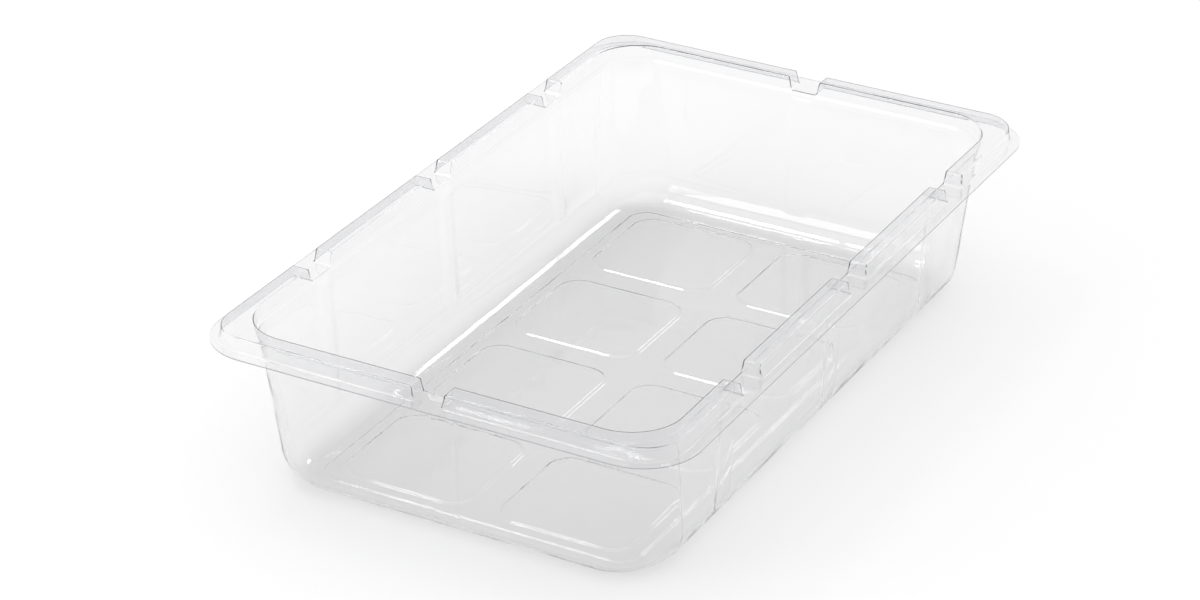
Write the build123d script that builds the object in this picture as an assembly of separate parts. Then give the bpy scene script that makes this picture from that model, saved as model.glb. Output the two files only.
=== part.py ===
"""Clear top seal food tray: one formed plastic sheet with raised sealing lands round its rim."""
import os
from math import atan2, cos, degrees, radians, sin, tan

from build123d import *

# Sheet and overall height
SHEET = 0.4
HEIGHT = 61.6

# Raised lands that carry the sealing film, measured over their flat tops
RIM_LENGTH = 280.0
RIM_WIDTH = 170.0
RIM_CORNER = 13.0
LAND_WIDTH = 6.3
LAND_HEIGHT = 4.9
LAND_DRAFT = 8.5
LAND_TOP_ROUND = 0.5

# Gaps between the lands, measured at the land tops
SIDE_GAP_WIDTH = 14.2
SIDE_GAP_PITCH = 80.1
SIDE_GAP_COUNT = 3
END_GAP_WIDTH = 12.4
GAP_DRAFT = 12.0

# Flat flange outside the lands
FLANGE_REACH = 4.2
FLANGE_CORNER = 20.5

# Mouth, sloping shoulder and walls, measured on the inner face
MOUTH_CORNER = 18.0
SHOULDER_WIDTH = 0.8
SHOULDER_HEIGHT = 1.1
WALL_DRAFT = 2.8
WELL_CORNER = 16.0
BASE_CORNER = 22.5
BASE_ROUND = 13.0
ROUND_SECTIONS = 5

# Shallow flutes pressed into the walls below the gaps
FLUTE_WIDTH = 12.0
FLUTE_TOP_DEPTH = 0.3
FLUTE_BASE_DEPTH = 1.0
FLUTE_RISE = 55.0

# Raised pads in the base
PAD_COLUMNS = 4
PAD_ROWS = 2
PAD_HEIGHT = 1.2
PAD_MARGIN = 17.5
PAD_SPACING = 8.0
PAD_CORNER = 10.0
PAD_RISE = 31.0

# How far a cutting form runs past the face that it cuts
OVERCUT = 2.0

FLANGE_TOP = HEIGHT - LAND_HEIGHT
SHOULDER_FOOT = FLANGE_TOP - SHOULDER_HEIGHT
LAND_RISE = 90.0 - LAND_DRAFT
GAP_RISE = 90.0 - GAP_DRAFT
WALL_RISE = 90.0 - WALL_DRAFT
SHOULDER_RISE = degrees(atan2(SHOULDER_HEIGHT, SHOULDER_WIDTH))
LAND_SPREAD = LAND_HEIGHT * tan(radians(LAND_DRAFT))
MOUTH_LENGTH = RIM_LENGTH - 2 * LAND_WIDTH
MOUTH_WIDTH = RIM_WIDTH - 2 * LAND_WIDTH


def fold_step(skin, rise, other_rise=0.0):
    """Sideways and downward step of a fold when both of its faces move by the sheet."""
    middle = radians((rise + other_rise) / 2)
    turn = radians((rise - other_rise) / 2)
    return skin * sin(middle) / cos(turn), skin * cos(middle) / cos(turn)


def outline(length, width, corner, z, grow=0.0):
    """Rounded rectangle at a height, grown or shrunk evenly all round."""
    return Plane.XY.offset(z) * RectangleRounded(length + 2 * grow, width + 2 * grow, corner + grow)


def mouth_outline(inset, corner, z, step):
    """Outline of the hollow: so far inside the mouth, moved by the step of its fold."""
    sideways, down = step
    return outline(MOUTH_LENGTH - 2 * inset, MOUTH_WIDTH - 2 * inset, corner, z - down, sideways)


def well_inset(z):
    """How far inside the mouth the drafted wall lies at a height."""
    return LAND_SPREAD + SHOULDER_WIDTH + (SHOULDER_FOOT - z) * tan(radians(WALL_DRAFT))


def well_half(z, across):
    """Half the inside of the well at a height, across the tray or along it."""
    return (MOUTH_WIDTH if across else MOUTH_LENGTH) / 2 - well_inset(z)


def mouth(skin):
    """Upper part of the hollow, between the lands and down the sloping shoulder."""
    over = OVERCUT * tan(radians(LAND_DRAFT))
    top = mouth_outline(-over, MOUTH_CORNER, HEIGHT + OVERCUT, fold_step(skin, LAND_RISE))
    foot_step = fold_step(skin, LAND_RISE, SHOULDER_RISE)
    foot = mouth_outline(LAND_SPREAD, MOUTH_CORNER, FLANGE_TOP, foot_step)
    return loft([foot, top], ruled=True) + loft([well_top(skin), foot], ruled=True)


def well_top(skin):
    """Outline where the shoulder meets the wall."""
    step = fold_step(skin, WALL_RISE, SHOULDER_RISE)
    return mouth_outline(well_inset(SHOULDER_FOOT), WELL_CORNER, SHOULDER_FOOT, step)


def rounding(skin):
    """Rounded edge of the well at the base, from the wall's foot down to the flat."""
    centre_height = SHEET + BASE_ROUND
    centre_inset = well_inset(centre_height) + BASE_ROUND / cos(radians(WALL_DRAFT))
    sections = []
    for step in range(ROUND_SECTIONS + 1):
        angle = radians(WALL_DRAFT + WALL_RISE * step / ROUND_SECTIONS)
        reach, drop = (BASE_ROUND + skin) * cos(angle), (BASE_ROUND + skin) * sin(angle)
        fold = (reach, drop)
        sections.append(mouth_outline(centre_inset, BASE_CORNER - BASE_ROUND, centre_height, fold))
    return sections


def well(skin):
    """Lower part of the hollow, with its rounded edge at the base."""
    sections = rounding(skin)
    return loft([sections[0], well_top(skin)], ruled=True) + loft(sections)


def flute(centre, across, skin):
    """Wedge that pushes one wall inward below a gap, built on the +Y side."""
    narrowing, _ = fold_step(skin, FLUTE_RISE)
    wall_step, _ = fold_step(skin, WALL_RISE)
    lean = 1 / tan(radians(FLUTE_RISE))
    half = FLUTE_WIDTH / 2 - narrowing
    sections = []
    for z, depth in ((-OVERCUT, FLUTE_BASE_DEPTH), (SHOULDER_FOOT, FLUTE_TOP_DEPTH)):
        wall = well_half(z, across) + wall_step
        corners = [
            (centre - half - OVERCUT * lean, wall + OVERCUT),
            (centre - half + depth * lean, wall - depth),
            (centre + half - depth * lean, wall - depth),
            (centre + half + OVERCUT * lean, wall + OVERCUT),
        ]
        sections.append(Plane.XY.offset(z - skin) * make_face(Polyline(*corners, close=True)))
    return loft(sections, ruled=True)


def on_both(turns, pieces):
    """Copies of the pieces on the two opposite walls."""
    return [Rot(Z=turn) * piece for turn in turns for piece in pieces]


def side_gap_places():
    """Centres of the gaps along one long side."""
    middle = (SIDE_GAP_COUNT - 1) / 2
    return [(index - middle) * SIDE_GAP_PITCH for index in range(SIDE_GAP_COUNT)]


def flutes(skin):
    """One flute below each gap."""
    sides = [flute(x, True, skin) for x in side_gap_places()]
    return on_both((0, 180), sides) + on_both((90, 270), [flute(0, False, skin)])


def pads(skin):
    """Raised pads of the base, in rows and columns inside a gutter."""
    length = 2 * (well_half(SHEET, False) - PAD_MARGIN)
    width = 2 * (well_half(SHEET, True) - PAD_MARGIN)
    pad_length = (length - (PAD_COLUMNS - 1) * PAD_SPACING) / PAD_COLUMNS
    pad_width = (width - (PAD_ROWS - 1) * PAD_SPACING) / PAD_ROWS
    lean = 1 / tan(radians(PAD_RISE))
    sideways, down = fold_step(skin, PAD_RISE)
    floor = SHEET - down
    foot = outline(pad_length, pad_width, PAD_CORNER, floor - OVERCUT, OVERCUT * lean - sideways)
    top = outline(pad_length, pad_width, PAD_CORNER, floor + PAD_HEIGHT, -PAD_HEIGHT * lean - sideways)
    pad = loft([foot, top], ruled=True)
    places = GridLocations(pad_length + PAD_SPACING, pad_width + PAD_SPACING, PAD_COLUMNS, PAD_ROWS)
    return [place * pad for place in places]


def hollow(skin):
    """The space inside the tray, with the flutes and pads standing in it."""
    return mouth(skin) + (well(skin) - flutes(skin) - pads(skin))


def gap(width, skin):
    """Cutter for one gap through the land on the +Y side, wider at the top."""
    sideways, down = fold_step(skin, GAP_RISE)
    half_top = width / 2 + sideways
    half_floor = half_top - LAND_HEIGHT * tan(radians(GAP_DRAFT))
    half_over = half_top + OVERCUT * tan(radians(GAP_DRAFT))
    low, high = FLANGE_TOP - down, HEIGHT - down + OVERCUT
    corners = [(-half_floor, low), (-half_over, high), (half_over, high), (half_floor, low)]
    section = Plane.XZ * make_face(Polyline(*corners, close=True))
    return extrude(section, amount=-(LAND_WIDTH + LAND_SPREAD + 2 * OVERCUT))


def gaps(skin):
    """All the gap cutters, each starting just inside the mouth."""
    side_start = MOUTH_WIDTH / 2 - OVERCUT
    end_start = MOUTH_LENGTH / 2 - OVERCUT
    sides = [Pos(x, side_start, 0) * gap(SIDE_GAP_WIDTH, skin) for x in side_gap_places()]
    return on_both((0, 180), sides) + on_both((90, 270), [Pos(0, end_start, 0) * gap(END_GAP_WIDTH, skin)])


def form(skin, flange_grow):
    """Everything below one face of the sheet: skin 0 is the upper face, SHEET the underside."""
    sideways, down = fold_step(skin, LAND_RISE)
    flange_edge = LAND_SPREAD + FLANGE_REACH + flange_grow
    block = outline(RIM_LENGTH, RIM_WIDTH, FLANGE_CORNER - LAND_SPREAD - FLANGE_REACH, -OVERCUT, flange_edge)
    block = extrude(block, amount=FLANGE_TOP - down + OVERCUT)
    lands = loft(
        [
            outline(RIM_LENGTH, RIM_WIDTH, RIM_CORNER, FLANGE_TOP - down, LAND_SPREAD - sideways),
            outline(RIM_LENGTH, RIM_WIDTH, RIM_CORNER, HEIGHT - down, -sideways),
        ],
        ruled=True,
    )
    body = block + lands - hollow(skin)
    top_edges = body.faces().sort_by(Axis.Z)[-1].edges()
    body = fillet(top_edges, LAND_TOP_ROUND + SHEET - skin)
    return body - gaps(skin)


def tray():
    """The sheet between its upper face and its underside."""
    return form(0.0, 0.0) - form(SHEET, OVERCUT)


os.makedirs("parts", exist_ok=True)
part = tray()
part.label = "tray"
export_step(part, "parts/tray.step")
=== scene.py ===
"""Clear top seal food tray on a pale floor: one formed plastic sheet, seen as in the photograph."""
from math import acos, cos, radians, sin, sqrt, tan

import bpy
import numpy as np
from mathutils import Matrix, Vector
from mathutils.geometry import delaunay_2d_cdt


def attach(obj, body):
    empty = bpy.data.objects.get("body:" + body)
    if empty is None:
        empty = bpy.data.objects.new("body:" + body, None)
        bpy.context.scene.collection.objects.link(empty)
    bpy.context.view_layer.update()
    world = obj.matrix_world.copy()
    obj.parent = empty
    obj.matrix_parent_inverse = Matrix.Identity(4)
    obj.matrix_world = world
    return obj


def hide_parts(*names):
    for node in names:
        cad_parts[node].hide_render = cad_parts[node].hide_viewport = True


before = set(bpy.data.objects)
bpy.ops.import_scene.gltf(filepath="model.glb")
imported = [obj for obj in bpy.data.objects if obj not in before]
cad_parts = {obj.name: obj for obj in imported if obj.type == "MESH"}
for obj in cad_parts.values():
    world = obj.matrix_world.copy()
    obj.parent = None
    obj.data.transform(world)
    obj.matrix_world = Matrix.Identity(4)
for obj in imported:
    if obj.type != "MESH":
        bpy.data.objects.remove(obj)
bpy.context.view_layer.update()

MM = 0.001

# The sheet's sizes in millimetres, the same as in the part
SHEET = 0.4
HEIGHT = 61.6
RIM_HALF = np.array([140.0, 85.0])
RIM_CORNER = 13.0
LAND_WIDTH = 6.3
LAND_HEIGHT = 4.9
LAND_DRAFT = 8.5
FLANGE_REACH = 4.2
FLANGE_CORNER = 20.5
MOUTH_CORNER = 18.0
SHOULDER_WIDTH = 0.8
SHOULDER_HEIGHT = 1.1
WALL_DRAFT = 2.8
WELL_CORNER = 16.0
BASE_CORNER = 22.5
BASE_ROUND = 13.0
SIDE_GAPS = (-80.1, 0.0, 80.1)
SIDE_GAP_HALF = 7.1
END_GAP_HALF = 6.2
GAP_DRAFT = 12.0
FLUTE_HALF = 6.0
FLUTE_DEPTHS = (0.3, 1.0)
PAD_COLUMNS = 4
PAD_ROWS = 2
PAD_HEIGHT = 1.2
PAD_MARGIN = 17.5
PAD_SPACING = 8.0
PAD_CORNER = 10.0
PAD_RISE = 31.0

# Finer forms that the part leaves out: rounded folds and round land ends
LAND_TOP_ROUND = 0.6
LAND_FOOT_ROUND = 0.7
LAND_END_ROUND = 1.0
MOUTH_ROUND = 0.6
SHOULDER_ROUND = 0.55
PAD_ROUND = 1.6

# How much faster a land's foot fades out over the mouth's edge than over the flange
INNER_FOOT_PULL = 1.6

# Soft flanks of the flutes, and how far below the flange they start and reach full depth
SIDE_FLUTE_FLANK = 5.0
END_FLUTE_FLANK = 2.8
FLUTE_START = 0.2
FLUTE_FADE = 1.2

# Raised panel inside the base edge
PANEL_INSET = 1.2
PANEL_RISE = 0.5
PANEL_RUN = 0.9
PANEL_FLAT = 1.6
PANEL_ROUND = 1.2

# Upright creases in the wall's corners: degrees, height of the beads, and where both fade out
CORNER_CREASE = 5.0
CORNER_BEAD = 0.14
CREASE_FADE = 6.0
CREASE_FOOT = 0.3
CREASE_FOOT_FADE = 0.5

# Widths beside the folds within which the corners keep an even distance, and their change there
LAND_BAND = 1.6
LAND_BAND_TURN = 0.87
FLANGE_BAND = 0.9

# Rows of the mesh over the rim: beside the cut edge, on the shoulder, the first on the inner land
# wall, and the least step
EDGE_ROW = 0.5
SHOULDER_ROWS = (-0.12, -0.45)
INNER_START = 0.1
ROW_STEP = 0.035

# Rows down the wall, which stop so far above the base rounding, and round it
WALL_END = 0.5
WALL_STEPS = 10
ROUND_STEPS = 10

# Columns of the mesh beside a gap's middle: shares of the flute's flank, the first one, the one
# past a land's rounded end, and the least and the longest step
FLANK_SHARES = np.linspace(1.1, -0.1, 9)
FIRST_COLUMN = 0.4
END_SUPPORT = 0.3
COLUMN_STEP = 0.12
LONGEST_STEP = 9.0

# Points of a flat fill closer than this count as one
MERGE_WITHIN = 1e-5

# Photograph's viewing angle in degrees, the point in millimetres that the camera faces, and its
# distance in metres
CAMERA_AZIMUTH = -61.32
CAMERA_ELEVATION = 27.79
CAMERA_ROLL = 0.17
CAMERA_TARGET = (-59.2, -18.3, HEIGHT)
CAMERA_DISTANCE = 1.2275
CAMERA_LENS = 110.57

# Lamps, all aimed at the tray's base: name, side in metres, watts and place in metres
LAMPS = (
    ("soft_light", 2.4, 9.2, (0.0, 0.1, 2.2)),
    ("key_light", 0.3, 2.4, (0.0, 0.78, 1.66)),
    ("edge_light", 0.25, 1.0, (1.44, 0.13, 1.165)),
    ("shoulder_light", 0.7, 3.0, (-1.24, 0.77, 1.08)),
)

# Pale surround: height on the view sphere from 0 to 1, and colour
HORIZON = (0.03, (0.52, 0.52, 0.54, 1))
SKY = (0.27, (0.88, 0.88, 0.88, 1))

# Floor, in metres, just below the tray
FLOOR_HALF = 6.0
FLOOR_Z = -0.0002

# The sheet's own light grey tint at each share of the tray's height, with painted shade that makes it
# darker at the base and at the rim
SHEET_TINT_AND_PAINTED_SHADE = (
    (0.04, (0.925, 0.925, 0.93, 1)),
    (0.14, (0.965, 0.965, 0.965, 1)),
    (0.8, (0.965, 0.965, 0.965, 1)),
    (0.94, (0.93, 0.93, 0.938, 1)),
)
SHADOW_TINT = (0.885, 0.885, 0.885, 1)

# Bounces that light needs through the sheet's many faces
LIGHT_BOUNCES = 24
CLEAR_BOUNCES = 32

FLANGE_TOP = HEIGHT - LAND_HEIGHT
SHOULDER_FOOT = FLANGE_TOP - SHOULDER_HEIGHT
LAND_SPREAD = LAND_HEIGHT * tan(radians(LAND_DRAFT))
WALL_LEAN = tan(radians(WALL_DRAFT))

# Distances outward from the foot of a land's inner wall
MOUTH_HALF = RIM_HALF - LAND_WIDTH - LAND_SPREAD
LAND_FAR_FOOT = LAND_WIDTH + 2 * LAND_SPREAD
FLANGE_EDGE = LAND_FAR_FOOT + FLANGE_REACH
ROUND_CENTRE_Z = SHEET + BASE_ROUND
WALL_END_REACH = -SHOULDER_WIDTH - (SHOULDER_FOOT - ROUND_CENTRE_Z) * WALL_LEAN
ROUND_CENTRE = WALL_END_REACH - BASE_ROUND / cos(radians(WALL_DRAFT))


def rounded_path(points, radii, steps=5, support=0.3):
    """Polyline with each inner corner rounded, and a support point before and after every arc."""
    points = [np.array(p, float) for p in points]
    path = [points[0]]
    for before, corner, after, radius in zip(points, points[1:], points[2:], radii):
        back = (before - corner) / np.linalg.norm(before - corner)
        on = (after - corner) / np.linalg.norm(after - corner)
        half = acos(float(back @ on)) / 2
        centre = corner + (back + on) / np.linalg.norm(back + on) * radius / sin(half)
        start, end = corner + back * radius / tan(half), corner + on * radius / tan(half)
        first, last = start - centre, end - centre
        turn = acos(float(first @ last) / radius**2)
        path.append(start + back * support)
        for i in range(steps + 1):
            share = i / steps
            path.append(centre + (sin((1 - share) * turn) * first + sin(share * turn) * last) / sin(turn))
        path.append(end + on * support)
    path.append(points[-1])
    return np.array(path)


# Far past either side of a land or of a pad's flank
FAR = 9.0

# Height of a land against the distance inside its foot line
LAND_PATH = rounded_path(
    [(-FAR, 0.0), (0.0, 0.0), (LAND_SPREAD, LAND_HEIGHT), (FAR, LAND_HEIGHT)],
    [LAND_FOOT_ROUND, LAND_TOP_ROUND],
)
# Flange, sloping shoulder and wall, as distance and height from the flange
WALL_PATH = rounded_path(
    [
        (FLANGE_EDGE, 0.0),
        (0.0, 0.0),
        (-SHOULDER_WIDTH, -SHOULDER_HEIGHT),
        (WALL_END_REACH, ROUND_CENTRE_Z - FLANGE_TOP),
    ],
    [MOUTH_ROUND, SHOULDER_ROUND],
)


def smooth(t):
    """Eased step from 0 to 1."""
    t = np.clip(t, 0.0, 1.0)
    return t * t * (3 - 2 * t)


def corner_radius(reach):
    """Corner radius of the rim's outlines against the distance from the mouth's foot."""
    places, radii = zip(
        (-SHOULDER_WIDTH, WELL_CORNER),
        (0.0, MOUTH_CORNER - LAND_SPREAD),
        (LAND_SPREAD, MOUTH_CORNER),
        (LAND_BAND, MOUTH_CORNER + LAND_BAND_TURN),
        (LAND_FAR_FOOT - LAND_BAND, RIM_CORNER - LAND_BAND_TURN),
        (LAND_FAR_FOOT + FLANGE_BAND, RIM_CORNER + LAND_SPREAD + FLANGE_BAND),
        (FLANGE_EDGE, FLANGE_CORNER),
    )
    return float(np.interp(reach, places, radii))


class Row:
    """One closed outline of the sheet: reach from the mouth's foot, height, corner and its crease."""

    def __init__(self, reach, z, corner, crease=0.0, rim=False):
        self.reach, self.z, self.corner, self.crease, self.rim = reach, z, corner, crease, rim
        self.half = MOUTH_HALF + reach


def rim_rows():
    """Rows over the flange, the lands and the shoulder, from the cut edge inward."""
    folds = [*LAND_PATH[1:-1, 0], LAND_END_ROUND]
    outer = [LAND_FAR_FOOT - d for d in folds]
    inner = [d for d in folds if d > INNER_START]
    places = [*outer, LAND_FAR_FOOT / 2, *inner, *WALL_PATH[1:-1, 0], *SHOULDER_ROWS]
    kept = [FLANGE_EDGE, FLANGE_EDGE - EDGE_ROW]
    for reach in sorted({round(place, 4) for place in places}, reverse=True):
        if kept[-1] - reach > ROW_STEP:
            kept.append(reach)
    heights = np.interp(kept, WALL_PATH[::-1, 0], WALL_PATH[::-1, 1])
    return [Row(reach, FLANGE_TOP + z, corner_radius(reach), rim=True) for reach, z in zip(kept, heights)]


def well_rows(top):
    """Rows down the wall, round the base edge and on to the raised panel, below the last rim row."""
    rows = []
    for z in np.linspace(top.z, ROUND_CENTRE_Z + WALL_END, WALL_STEPS + 1)[1:]:
        share = (SHOULDER_FOOT - z) / (SHOULDER_FOOT - ROUND_CENTRE_Z)
        reach = -SHOULDER_WIDTH - (SHOULDER_FOOT - z) * WALL_LEAN
        crease = CORNER_CREASE * smooth((SHOULDER_FOOT - z) / CREASE_FADE)
        rows.append(Row(reach, z, WELL_CORNER + (BASE_CORNER - WELL_CORNER) * share, crease))
    for angle in np.linspace(radians(WALL_DRAFT), radians(90), ROUND_STEPS + 1):
        out = BASE_ROUND * cos(angle)
        crease = CORNER_CREASE * smooth((cos(angle) - CREASE_FOOT) / CREASE_FOOT_FADE)
        z = ROUND_CENTRE_Z - BASE_ROUND * sin(angle)
        rows.append(Row(ROUND_CENTRE + out, z, BASE_CORNER - BASE_ROUND + out, crease))
    panel = rounded_path(
        [
            (0.0, SHEET),
            (-PANEL_INSET, SHEET),
            (-PANEL_INSET - PANEL_RUN, SHEET + PANEL_RISE),
            (-PANEL_INSET - PANEL_RUN - PANEL_FLAT, SHEET + PANEL_RISE),
        ],
        [PANEL_ROUND, PANEL_ROUND],
        steps=3,
        support=0.1,
    )
    for step, z in panel[1:]:
        rows.append(Row(ROUND_CENTRE + step, z, BASE_CORNER - BASE_ROUND + step))
    return rows


def gap_offsets(foot_half, flute_flank):
    """Column places on one side of a gap's middle, over the flute's flank and the land's end."""
    slope = tan(radians(GAP_DRAFT)) / tan(radians(LAND_DRAFT))
    flank = FLUTE_HALF - flute_flank * FLANK_SHARES
    folds = [*LAND_PATH[1:-1, 0], LAND_END_ROUND, LAND_END_ROUND + END_SUPPORT]
    kept = [FIRST_COLUMN]
    for place in sorted([*flank, *(foot_half + d * slope for d in folds)]):
        if place - kept[-1] > COLUMN_STEP:
            kept.append(place)
    return kept


def side_places(side):
    """Column places along one straight side, between its two limits."""
    limit = side["limit"]
    places = {-limit, limit}
    for centre in side["gaps"]:
        places.add(centre)
        for offset in gap_offsets(side["foot"], side["flank"]):
            places.update((centre - offset, centre + offset))
    places = sorted(places)
    filled = [places[0]]
    for place in places[1:]:
        parts = int((place - filled[-1]) / LONGEST_STEP) + 1
        filled += list(np.linspace(filled[-1], place, parts + 1)[1:])
    return np.array(filled)


# Both kinds of side: its gaps, half their width at the foot, and where its even columns end
FOOT_STEP = LAND_HEIGHT * tan(radians(GAP_DRAFT))
SHORT_SIDE = {
    "gaps": (0.0,),
    "foot": END_GAP_HALF - FOOT_STEP,
    "limit": 20.0,
    "flank": END_FLUTE_FLANK,
}
LONG_SIDE = {
    "gaps": SIDE_GAPS,
    "foot": SIDE_GAP_HALF - FOOT_STEP,
    "limit": 95.0,
    "flank": SIDE_FLUTE_FLANK,
}
SIDES = [
    {"out": (x, y), **(SHORT_SIDE if x else LONG_SIDE)} for x, y in ((1, 0), (0, 1), (-1, 0), (0, -1))
]

# Shares of the way from the even columns to the corner, and of the corner's own turn
RUN_SHARES = np.array([0.3, 0.6, 0.85, 0.97, 0.99])
EVEN_TURNS = [0.08 + 0.84 * i / 16 for i in range(1, 16)]
TURNS = np.array([0.0, 0.012, 0.03, 0.08, *EVEN_TURNS, 0.92, 0.97, 0.988, 1.0])

# Height of the corner's two beads at each turn: full at the long wall, lower at the short one
BEAD_SHAPE = np.zeros(len(TURNS))
BEAD_SHAPE[[1, 2]] = 0.5, 0.2
BEAD_SHAPE[[-2, -3]] = 1.0, 0.4


def side_points(row, side):
    """Points of one row along one side and round the corner after it, with the land heights."""
    out = np.array(side["out"], float)
    along = np.array([-out[1], out[0]])
    half_out, half_along = (row.half[0], row.half[1]) if out[0] else (row.half[1], row.half[0])
    places = side_places(side)
    straight = half_along - row.corner
    run = side["limit"] + RUN_SHARES * (straight - side["limit"])
    u = np.concatenate([-run[::-1], places, run])
    nearest = np.min([np.abs(u - gap) for gap in side["gaps"]], axis=0)
    depth = np.interp(row.z, (0.0, SHOULDER_FOOT), FLUTE_DEPTHS[::-1])
    flute = depth * smooth((FLANGE_TOP - FLUTE_START - row.z) / FLUTE_FADE)
    flute = flute * smooth((FLUTE_HALF - nearest) / side["flank"])
    wall = -SHOULDER_WIDTH - (SHOULDER_FOOT - row.z) * WALL_LEAN
    inward = np.maximum(0.0, flute - max(0.0, wall - row.reach)) if row.z < FLANGE_TOP else 0.0 * u
    flat = np.outer(half_out - inward, out) + np.outer(u, along)

    half_turn = radians(45 - row.crease)
    radius = row.corner * sqrt(2) / (2 * sin(half_turn))
    middle = out * (half_out - row.corner / 2) + along * (half_along - row.corner / 2)
    centre = middle - (out + along) * radius * cos(half_turn) / sqrt(2)
    angles = radians(row.crease) + TURNS * 2 * half_turn
    bead = CORNER_BEAD * row.crease / CORNER_CREASE * (BEAD_SHAPE if out[0] else BEAD_SHAPE[::-1])
    reach = (radius + bead)[:, None]
    round_part = centre + reach * (np.outer(np.cos(angles), out) + np.outer(np.sin(angles), along))

    lift = np.zeros(len(u) + len(angles))
    if row.rim:
        slope = tan(radians(LAND_DRAFT)) / tan(radians(GAP_DRAFT))
        end = (nearest - side["foot"]) * slope
        end = np.concatenate([end, np.full(len(angles), FAR)])
        inner = row.reach if row.reach > 0 else row.reach * INNER_FOOT_PULL
        across = min(inner, LAND_FAR_FOOT - row.reach)
        a, b = LAND_END_ROUND - across, LAND_END_ROUND - end
        rounded = LAND_END_ROUND - np.hypot(max(a, 0.0), np.maximum(b, 0.0))
        inside = np.where((a > 0) & (b > 0), rounded, np.minimum(across, end))
        lift = np.interp(inside, LAND_PATH[:, 0], LAND_PATH[:, 1])
    return np.column_stack([np.vstack([flat, round_part]), row.z + lift])


def outline_points(half, corner, turns=8, parts=4):
    """Points of a rounded rectangle: each corner's arc, then the straight run to the next."""
    centres = [(half - corner) * signs for signs in ((1, 1), (-1, 1), (-1, -1), (1, -1))]
    points = []
    for i, centre in enumerate(centres):
        for step in range(turns + 1):
            angle = radians(90 * (i + step / turns))
            points.append(centre + corner * np.array([cos(angle), sin(angle)]))
        start = points[-1]
        end = start - centre + centres[(i + 1) % 4]
        points += [start + (end - start) * step / parts for step in range(1, parts)]
    return np.array(points)


class Skin:
    """Points and faces of the sheet's upper face."""

    def __init__(self):
        self.points, self.faces = [], []

    def ring(self, points):
        """Adds a closed loop and returns its point numbers."""
        first = len(self.points)
        self.points += [tuple(p) for p in points]
        return list(range(first, first + len(points)))

    def band(self, outer, inner):
        """Quads between two loops of the same length, facing up."""
        count = len(outer)
        for i in range(count):
            j = (i + 1) % count
            self.faces.append((outer[i], outer[j], inner[j], inner[i]))

    def fill(self, loop, holes=()):
        """Flat triangles inside a loop, around its holes."""
        loops = [loop, *holes]
        order = [index for one in loops for index in one]
        flat = [Vector(self.points[index][:2]) for index in order]
        edges, first = [], 0
        for one in loops:
            count = len(one)
            edges += [(first + i, first + (i + 1) % count) for i in range(count)]
            first += count
        outer = [list(range(len(loop)))]
        verts, _, faces, origin, _, _ = delaunay_2d_cdt(flat, edges, outer, 1, MERGE_WITHIN)
        hole_shapes = [np.array([self.points[index][:2] for index in hole]) for hole in holes]
        for face in faces:
            middle = np.mean([tuple(verts[i]) for i in face], axis=0)
            if any(contains(shape, middle) for shape in hole_shapes):
                continue
            self.faces.append(tuple(order[origin[i][0]] for i in face))


def contains(shape, point):
    """True if a point lies inside a convex loop."""
    step = np.roll(shape, -1, axis=0) - shape
    to_point = point - shape
    turn = step[:, 0] * to_point[:, 1] - step[:, 1] * to_point[:, 0]
    return bool(np.all(turn > 0) or np.all(turn < 0))


def pad_rings(skin):
    """Raised pads of the base: adds them to the skin and returns their outermost loops."""
    low, high = SHEET + PANEL_RISE, SHEET + PAD_HEIGHT
    lean = 1 / tan(radians(PAD_RISE))
    path = rounded_path(
        [(-FAR, low), (PANEL_RISE * lean, low), (PAD_HEIGHT * lean, high), (FAR, high)],
        [PAD_ROUND, PAD_ROUND],
        support=0.1,
    )[1:-1]
    floor_half = MOUTH_HALF - SHOULDER_WIDTH - (SHOULDER_FOOT - SHEET) * WALL_LEAN - PAD_MARGIN
    counts = np.array([PAD_COLUMNS, PAD_ROWS])
    size = (2 * floor_half - (counts - 1) * PAD_SPACING) / counts
    loops = []
    for i in range(PAD_COLUMNS):
        for j in range(PAD_ROWS):
            centre = (np.array([i, j]) - (counts - 1) / 2) * (size + PAD_SPACING)
            before = None
            for inset, z in path:
                flat = centre + outline_points(size / 2 - inset, PAD_CORNER - inset)
                ring = skin.ring(np.column_stack([flat, np.full(len(flat), z)]))
                if before is None:
                    loops.append(ring)
                else:
                    skin.band(before, ring)
                before = ring
            skin.fill(before)
    return loops


def point_normals(points, faces):
    """Normal at each point, each face weighted by its angle there."""
    normals = np.zeros_like(points)
    for size in (3, 4):
        group = np.array([f for f in faces if len(f) == size])
        if not len(group):
            continue
        corners = points[group]
        if size == 3:
            face = np.cross(corners[:, 1] - corners[:, 0], corners[:, 2] - corners[:, 0])
        else:
            face = np.cross(corners[:, 2] - corners[:, 0], corners[:, 3] - corners[:, 1])
        face /= np.maximum(np.linalg.norm(face, axis=1, keepdims=True), 1e-12)
        for k in range(size):
            a = corners[:, (k + 1) % size] - corners[:, k]
            b = corners[:, k - 1] - corners[:, k]
            lengths = np.linalg.norm(a, axis=1) * np.linalg.norm(b, axis=1)
            angle = np.arccos(np.clip(np.sum(a * b, axis=1) / np.maximum(lengths, 1e-12), -1, 1))
            np.add.at(normals, group[:, k], face * angle[:, None])
    return normals / np.linalg.norm(normals, axis=1, keepdims=True)


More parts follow.
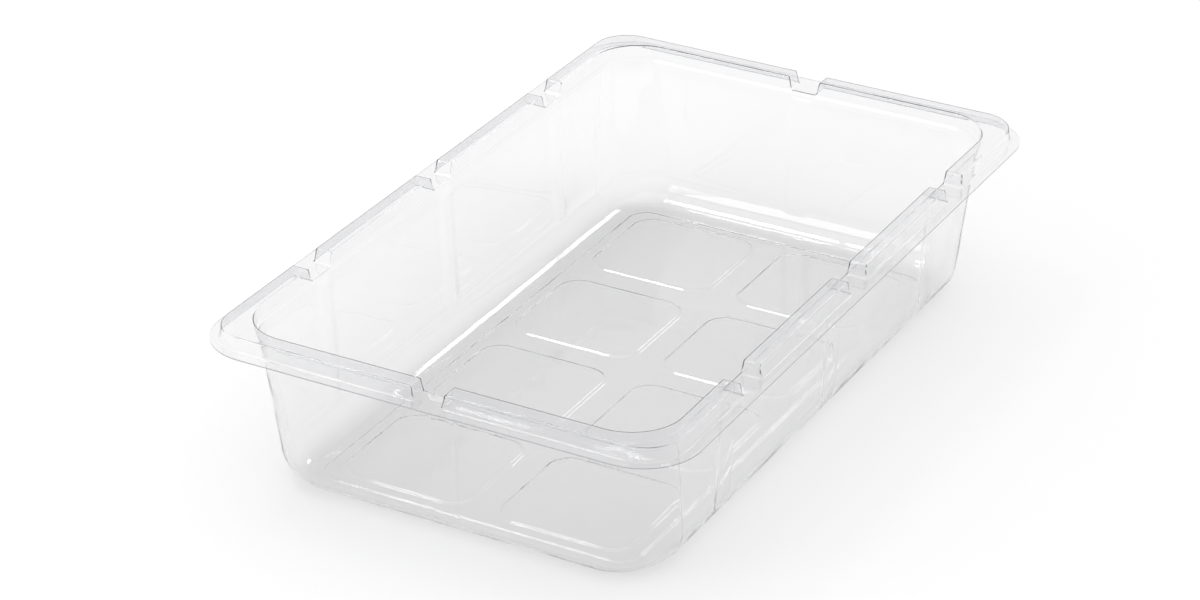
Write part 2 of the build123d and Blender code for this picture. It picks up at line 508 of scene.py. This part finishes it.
def make_tray():
    """The whole sheet as one closed mesh: upper face, underside and the cut edge between them."""
    skin = Skin()
    rows = rim_rows()
    rows += well_rows(rows[-1])
    loops = []
    for row in rows:
        points = np.vstack([side_points(row, side)[:-1] for side in SIDES])
        loops.append(skin.ring(points))
    for outer, inner in zip(loops, loops[1:]):
        skin.band(outer, inner)
    pads = pad_rings(skin)
    skin.fill(loops[-1], pads)

    top = np.array(skin.points)
    under = top - SHEET * point_normals(top, skin.faces)
    count = len(top)
    faces = list(skin.faces)
    faces += [tuple(count + i for i in reversed(face)) for face in skin.faces]
    edge = loops[0]
    for i, a in enumerate(edge):
        b = edge[(i + 1) % len(edge)]
        faces.append((b, a, count + a, count + b))
    mesh = bpy.data.meshes.new("tray_sheet")
    mesh.from_pydata([tuple(p) for p in np.vstack([top, under]) * MM], [], faces)
    mesh.validate()
    mesh.shade_smooth()
    for face in mesh.polygons[-len(edge):]:
        face.material_index = 1
    rim = set(edge)
    for line in mesh.edges:
        a, b = line.vertices
        if (a in rim and b in rim) or (a - count in rim and b - count in rim):
            line.use_edge_sharp = True
    piece = bpy.data.objects.new("tray_sheet", mesh)
    bpy.context.scene.collection.objects.link(piece)
    return piece


def noise(tree, place, scale, detail):
    """Noise texture at a place socket."""
    node = tree.nodes.new("ShaderNodeTexNoise")
    node.inputs["Scale"].default_value = scale
    node.inputs["Detail"].default_value = detail
    tree.links.new(place, node.inputs["Vector"])
    return node.outputs["Fac"]


def spread(tree, source, span, onto):
    """A span of the source's values mapped on to another span."""
    node = tree.nodes.new("ShaderNodeMapRange")
    node.inputs["From Min"].default_value, node.inputs["From Max"].default_value = span
    node.inputs["To Min"].default_value, node.inputs["To Max"].default_value = onto
    tree.links.new(source, node.inputs["Value"])
    return node.outputs["Result"]


def bump(tree, height, strength, distance):
    """Bump node over a height socket."""
    node = tree.nodes.new("ShaderNodeBump")
    node.inputs["Strength"].default_value = strength
    node.inputs["Distance"].default_value = distance
    tree.links.new(height, node.inputs["Height"])
    return node


def ramp(tree, source, stops):
    """Colour ramp over a source, with a colour at each stop."""
    node = tree.nodes.new("ShaderNodeValToRGB")
    elements = node.color_ramp.elements
    for element, (position, colour) in zip(elements, stops):
        element.position, element.color = position, colour
    for position, colour in stops[2:]:
        elements.new(position).color = colour
    tree.links.new(source, node.inputs["Fac"])
    return node.outputs["Color"]


def clear_plastic():
    """Clear formed plastic: waves and a fine peel from forming, a light grey tint, and painted shade that
    darkens it at the base and the rim.
    """
    material = bpy.data.materials.new("clear_sheet")
    material.use_nodes = True
    tree = material.node_tree
    nodes, links = tree.nodes, tree.links
    nodes.clear()
    output = nodes.new("ShaderNodeOutputMaterial")
    shader = nodes.new("ShaderNodeBsdfPrincipled")
    place = nodes.new("ShaderNodeTexCoord").outputs["Object"]

    haze = spread(tree, noise(tree, place, scale=85, detail=3), span=(0.35, 0.7), onto=(0.012, 0.05))
    links.new(haze, shader.inputs["Roughness"])
    split = nodes.new("ShaderNodeSeparateXYZ")
    links.new(place, split.inputs["Vector"])
    level = spread(tree, split.outputs["Z"], span=(0.0, HEIGHT * MM), onto=(0.0, 1.0))
    # Tint by height: the sheet's own grey, with painted shade darker at the base and at the rim
    links.new(ramp(tree, level, SHEET_TINT_AND_PAINTED_SHADE), shader.inputs["Base Color"])
    waves = bump(tree, noise(tree, place, scale=48, detail=1), strength=0.35, distance=0.0006)
    peel = bump(tree, noise(tree, place, scale=520, detail=2), strength=0.1, distance=0.0001)
    links.new(waves.outputs["Normal"], peel.inputs["Normal"])
    links.new(peel.outputs["Normal"], shader.inputs["Normal"])
    shader.inputs["IOR"].default_value = 1.5
    shader.inputs["Transmission Weight"].default_value = 1.0

    # Lamps reach through the sheet: it is plainly transparent to shadow and diffuse rays
    clear = nodes.new("ShaderNodeBsdfTransparent")
    clear.inputs["Color"].default_value = SHADOW_TINT
    path = nodes.new("ShaderNodeLightPath")
    either = nodes.new("ShaderNodeMath")
    either.operation = "MAXIMUM"
    mix = nodes.new("ShaderNodeMixShader")
    links.new(path.outputs["Is Shadow Ray"], either.inputs[0])
    links.new(path.outputs["Is Diffuse Ray"], either.inputs[1])
    links.new(either.outputs[0], mix.inputs["Fac"])
    links.new(shader.outputs["BSDF"], mix.inputs[1])
    links.new(clear.outputs["BSDF"], mix.inputs[2])
    links.new(mix.outputs["Shader"], output.inputs["Surface"])
    return material


def cut_plastic():
    """The die-cut edge of the sheet: the same plastic, left matt and streaked by the cutter."""
    material = bpy.data.materials.new("cut_edge")
    material.use_nodes = True
    tree = material.node_tree
    shader = tree.nodes["Principled BSDF"]
    place = tree.nodes.new("ShaderNodeTexCoord")
    upright = tree.nodes.new("ShaderNodeMapping")
    upright.inputs["Scale"].default_value = (1, 1, 0.08)
    tree.links.new(place.outputs["Object"], upright.inputs["Vector"])
    streaks = noise(tree, upright.outputs["Vector"], scale=1400, detail=2)
    roughness = spread(tree, streaks, span=(0.3, 0.7), onto=(0.36, 0.58))
    tree.links.new(roughness, shader.inputs["Roughness"])
    grain = bump(tree, streaks, strength=0.3, distance=0.0001)
    tree.links.new(grain.outputs["Normal"], shader.inputs["Normal"])
    shader.inputs["Base Color"].default_value = (0.56, 0.56, 0.6, 1)
    shader.inputs["Transmission Weight"].default_value = 0.25
    return material


def make_floor():
    """Plain pale floor."""
    mesh = bpy.data.meshes.new("floor")
    corners = [(x * FLOOR_HALF, y * FLOOR_HALF, FLOOR_Z) for x, y in ((-1, -1), (1, -1), (1, 1), (-1, 1))]
    mesh.from_pydata(corners, [], [(0, 1, 2, 3)])
    floor = bpy.data.objects.new("floor", mesh)
    bpy.context.scene.collection.objects.link(floor)
    material = bpy.data.materials.new("floor_white")
    material.use_nodes = True
    shader = material.node_tree.nodes["Principled BSDF"]
    shader.inputs["Base Color"].default_value = (0.9, 0.9, 0.9, 1)
    shader.inputs["Roughness"].default_value = 0.9
    mesh.materials.append(material)


def make_lights():
    """Pale surround, soft light from above and three small lamps for the gleams on the folds."""
    world = bpy.data.worlds.new("studio")
    bpy.context.scene.world = world
    world.use_nodes = True
    tree = world.node_tree
    background = tree.nodes["Background"]
    place = tree.nodes.new("ShaderNodeTexCoord")
    split = tree.nodes.new("ShaderNodeSeparateXYZ")
    tree.links.new(place.outputs["Generated"], split.inputs["Vector"])
    surround = ramp(tree, split.outputs["Z"], (HORIZON, SKY))
    tree.links.new(surround, background.inputs["Color"])
    background.inputs["Strength"].default_value = 1.0
    for name, size, energy, place in LAMPS:
        light = bpy.data.lights.new(name, "AREA")
        light.size = size
        light.energy = energy
        lamp = bpy.data.objects.new(name, light)
        lamp.location = place
        lamp.rotation_euler = (Vector((0, 0, 0)) - lamp.location).to_track_quat("-Z", "Y").to_euler()
        bpy.context.scene.collection.objects.link(lamp)


def make_camera():
    """Camera at the photograph's viewing angle."""
    azimuth, elevation, roll = map(radians, (CAMERA_AZIMUTH, CAMERA_ELEVATION, CAMERA_ROLL))
    back = Vector((sin(azimuth) * cos(elevation), -cos(azimuth) * cos(elevation), sin(elevation)))
    right = (-back).cross(Vector((0, 0, 1))).normalized()
    up = right.cross(-back)
    right, up = right * cos(roll) + up * sin(roll), up * cos(roll) - right * sin(roll)
    camera = bpy.data.cameras.new("camera")
    camera.sensor_width = 36
    camera.lens = CAMERA_LENS
    camera.clip_end = 100
    holder = bpy.data.objects.new("camera", camera)
    turn = Matrix((right, up, back)).transposed().to_4x4()
    target = Vector(CAMERA_TARGET) * MM
    holder.matrix_world = Matrix.Translation(target + back * CAMERA_DISTANCE) @ turn
    bpy.context.scene.collection.objects.link(holder)
    bpy.context.scene.camera = holder


tray = make_tray()
tray.data.materials.append(clear_plastic())
tray.data.materials.append(cut_plastic())
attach(tray, "root")
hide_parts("tray")
make_floor()
make_lights()
make_camera()

scene = bpy.context.scene
scene.view_settings.view_transform = "Standard"
scene.cycles.max_bounces = LIGHT_BOUNCES
scene.cycles.transmission_bounces = LIGHT_BOUNCES
scene.cycles.transparent_max_bounces = CLEAR_BOUNCES
